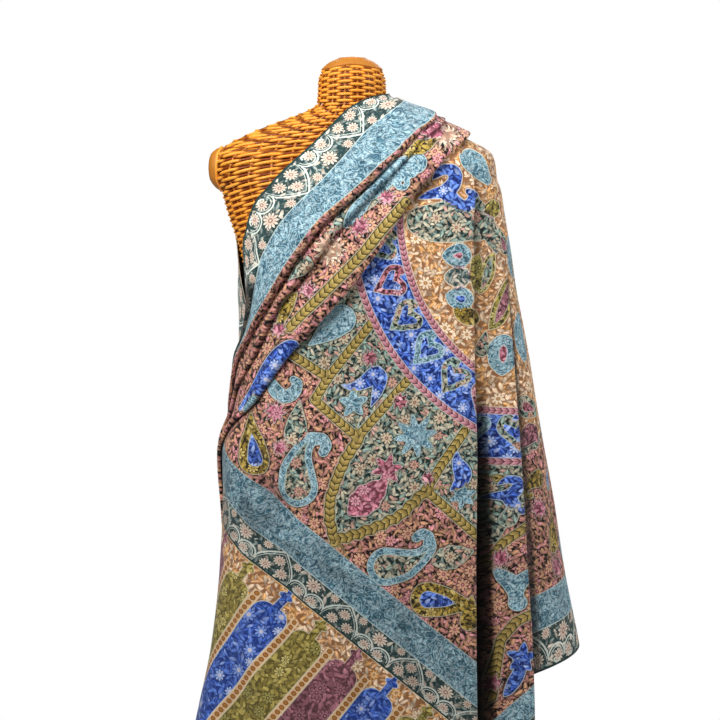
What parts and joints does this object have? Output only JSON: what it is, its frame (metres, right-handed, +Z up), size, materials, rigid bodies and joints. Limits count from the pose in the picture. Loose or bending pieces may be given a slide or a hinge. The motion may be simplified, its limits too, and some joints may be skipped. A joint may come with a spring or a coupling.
{
  "type": "pashmina shawl on a limbless dress form",
  "caption": "Patterned pashmina shawl draped diagonally over one shoulder of a limbless wicker dress form on a plain stand.",
  "frame": {"origin": "centre of the stand base's flat underside", "axes": "+Z up along the form's height, -Y towards the viewer's front of the form, +X towards the covered shoulder"},
  "size_m": [0.5409, 0.3727, 1.55],
  "materials": {
    "rattan": "varnished",
    "dark_wood": "satin",
    "shawl_border": "soft embroidered wool",
    "shawl_field": "soft embroidered wool"
  },
  "bodies": {
    "root": {"form_torso": "rattan", "form_cap_left": "rattan", "form_cap_right": "rattan", "stand_base": "dark_wood", "stand_pole": "dark_wood", "stand_collar": "dark_wood", "shawl_top_border": "shawl_border", "shawl_pleat_1": "shawl_field", "shawl_pleat_2": "shawl_field", "shawl_front": "shawl_field", "shawl_side_pleat": "shawl_field", "shawl_outer_fall": "shawl_field", "shawl_back": "shawl_field"}
  },
  "joints": []
}
